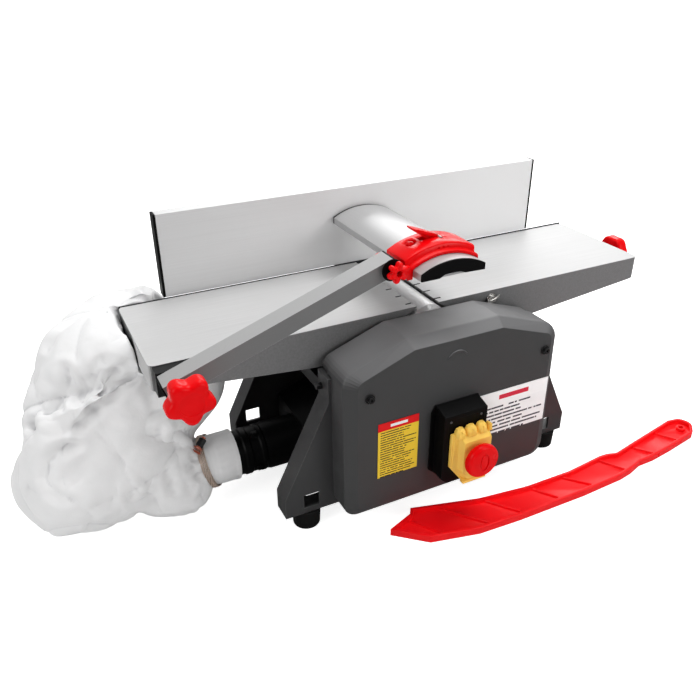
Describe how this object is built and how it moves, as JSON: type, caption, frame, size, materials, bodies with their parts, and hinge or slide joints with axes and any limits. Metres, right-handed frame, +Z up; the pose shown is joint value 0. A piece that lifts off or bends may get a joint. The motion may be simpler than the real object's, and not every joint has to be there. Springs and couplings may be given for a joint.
{
  "type": "thickness planer",
  "caption": "Small bench surface planer: two tables round a cutter block, tilting fence, bridge guard on a swing arm, belt cover with stop switch, dust chute with bag, and a push stick.",
  "frame": {"origin": "centre of the footprint, on the floor", "axes": "+X along the tables to the infeed end, +Y across the tables to the fence, +Z up"},
  "size_m": [0.9038, 0.457, 0.3577],
  "materials": {
    "cast_alloy": "satin, ground on top",
    "charcoal_paint": "semi-gloss",
    "charcoal_plastic": "fine texture, semi-gloss",
    "black_plastic": "satin",
    "black_steel": "satin",
    "rubber": "matte",
    "steel": "bright",
    "dark_steel": "satin",
    "extruded_alloy": "brushed",
    "red_plastic": "glossy",
    "yellow_plastic": "glossy",
    "green_plastic": "glossy",
    "yellow_label": "satin film",
    "white_label": "satin film",
    "bag_cloth": "matte non-woven",
    "copper_screw": "bright"
  },
  "bodies": {
    "base": {"front_frame_plate": "charcoal_paint", "rear_frame_plate": "charcoal_paint", "left_cross_member": "black_steel", "right_cross_member": "black_steel", "foot_front_left": "rubber", "foot_front_right": "rubber", "foot_rear_left": "rubber", "foot_rear_right": "rubber", "frame_bolt": "black_steel", "outfeed_table": "cast_alloy", "outfeed_support": "dark_steel", "infeed_ramp": "dark_steel", "cutter_bearing_front": "steel", "cutter_bearing_rear": "steel", "drive_belt": "rubber", "motor_housing": "dark_steel", "belt_cover": "charcoal_plastic", "cover_bolt_left": "black_steel", "cover_bolt_right": "black_steel", "safety_label": "yellow_label", "rating_label": "white_label", "switch_box": "black_plastic", "fence_rail": "dark_steel", "arm_bracket": "black_steel", "dust_chute": "black_plastic", "hose_clamp": "steel", "clamp_screw": "copper_screw", "dust_bag": "bag_cloth"},
    "infeed": {"infeed_table": "cast_alloy", "pointer_bolt": "steel"},
    "depth_knob_body": {"depth_screw": "steel", "depth_knob": "red_plastic"},
    "cutter": {"cutter_block": "steel", "cutter_knife_a": "steel", "cutter_knife_b": "steel", "cutter_pulley": "dark_steel"},
    "motor_rotor": {"motor_spindle": "steel", "motor_pulley": "dark_steel"},
    "lid": {"switch_lid": "yellow_plastic"},
    "stop": {"stop_button": "red_plastic"},
    "start": {"start_button": "green_plastic"},
    "carriage": {"fence_carriage": "cast_alloy"},
    "fence_body": {"fence": "extruded_alloy", "fence_cap_left": "black_plastic", "fence_cap_right": "black_plastic", "fence_bracket": "cast_alloy"},
    "tilt_lever": {"fence_tilt_lever": "black_plastic"},
    "slide_lever": {"fence_slide_lever": "black_plastic"},
    "arm": {"guard_arm": "extruded_alloy", "arm_plug_left": "black_plastic", "arm_plug_right": "black_plastic"},
    "arm_knob_body": {"arm_knob": "red_plastic"},
    "saddle": {"clamp_saddle": "red_plastic"},
    "lever": {"clamp_lever": "red_plastic"},
    "saddle_knob_body": {"saddle_knob": "red_plastic"},
    "guard": {"guard_plate": "extruded_alloy", "guard_cap_front": "black_plastic", "guard_cap_rear": "black_plastic"},
    "stick": {"push_stick": "red_plastic"}
  },
  "joints": [
    {"name": "infeed_slide", "type": "slide", "parent": "base", "child": "infeed", "axis": [0.866, 0, -0.5], "range_m": [-0.002, 0.004]},
    {"name": "depth_knob_turn", "type": "hinge", "parent": "infeed", "child": "depth_knob_body", "pos_m": [0.41411, -0.00753, 0.225], "axis": [1, 0, 0], "range_deg": [-481, 961]},
    {"name": "cutter_spin", "type": "hinge", "parent": "base", "child": "cutter", "pos_m": [0.04411, -0.00753, 0.226], "axis": [0, 1, 0], "continuous": true},
    {"name": "motor_spin", "type": "hinge", "parent": "base", "child": "motor_rotor", "pos_m": [0.12811, -0.00753, 0.112], "axis": [0, 1, 0], "continuous": true},
    {"name": "lid_flip", "type": "hinge", "parent": "base", "child": "lid", "pos_m": [0.04411, -0.18383, 0.1415], "axis": [-1, 0, 0], "range_deg": [0, 90]},
    {"name": "stop_press", "type": "slide", "parent": "lid", "child": "stop", "axis": [0, 1, 0], "range_m": [0, 0.003]},
    {"name": "start_press", "type": "slide", "parent": "base", "child": "start", "axis": [0, 1, 0], "range_m": [0, 0.002]},
    {"name": "fence_slide", "type": "slide", "parent": "base", "child": "carriage", "axis": [0, -1, 0], "range_m": [0, 0.09]},
    {"name": "fence_tilt", "type": "hinge", "parent": "carriage", "child": "fence_body", "pos_m": [0.04411, 0.09847, 0.26], "axis": [-1, 0, 0], "range_deg": [0, 45]},
    {"name": "tilt_lever_turn", "type": "hinge", "parent": "carriage", "child": "tilt_lever", "pos_m": [0.11011, 0.09847, 0.26], "axis": [1, 0, 0], "range_deg": [0, 30]},
    {"name": "slide_lever_turn", "type": "hinge", "parent": "base", "child": "slide_lever", "pos_m": [0.04411, 0.11647, 0.265], "axis": [0, 0, 1], "range_deg": [0, 90]},
    {"name": "arm_swing", "type": "hinge", "parent": "base", "child": "arm", "pos_m": [-0.26989, -0.11503, 0.244], "axis": [0, -1, 0], "range_deg": [-13, 45]},
    {"name": "arm_knob_turn", "type": "hinge", "parent": "arm", "child": "arm_knob_body", "pos_m": [-0.26989, -0.11503, 0.244], "axis": [0, -1, 0], "range_deg": [0, 360]},
    {"name": "saddle_tilt", "type": "hinge", "parent": "arm", "child": "saddle", "pos_m": [-0.03148, -0.11503, 0.32564], "axis": [0, -1, 0], "range_deg": [-46, 14]},
    {"name": "saddle_knob_turn", "type": "hinge", "parent": "saddle", "child": "saddle_knob_body", "pos_m": [-0.03148, -0.11503, 0.32564], "axis": [0, -1, 0], "range_deg": [0, 360]},
    {"name": "clamp_lever_flip", "type": "hinge", "parent": "saddle", "child": "lever", "pos_m": [0.04211, -0.09953, 0.3418], "axis": [0, 1, 0], "range_deg": [0, 90]},
    {"name": "guard_slide", "type": "slide", "parent": "saddle", "child": "guard", "axis": [0, -1, 0], "range_m": [0, 0.09]},
    {"name": "push_stick_slide", "type": "slide", "parent": "base", "child": "stick", "axis": [0, -1, 0], "range_m": [0, 0.1]}
  ],
  "couplings": [
    {"joint": "depth_knob_turn", "follows": "infeed_slide", "rad_per_m": 4188.8},
    {"joint": "motor_spin", "follows": "cutter_spin", "ratio": 0.5},
    {"joint": "saddle_tilt", "follows": "arm_swing", "ratio": -1},
    {"joint": "guard_slide", "follows": "fence_slide", "ratio": 1}
  ]
}
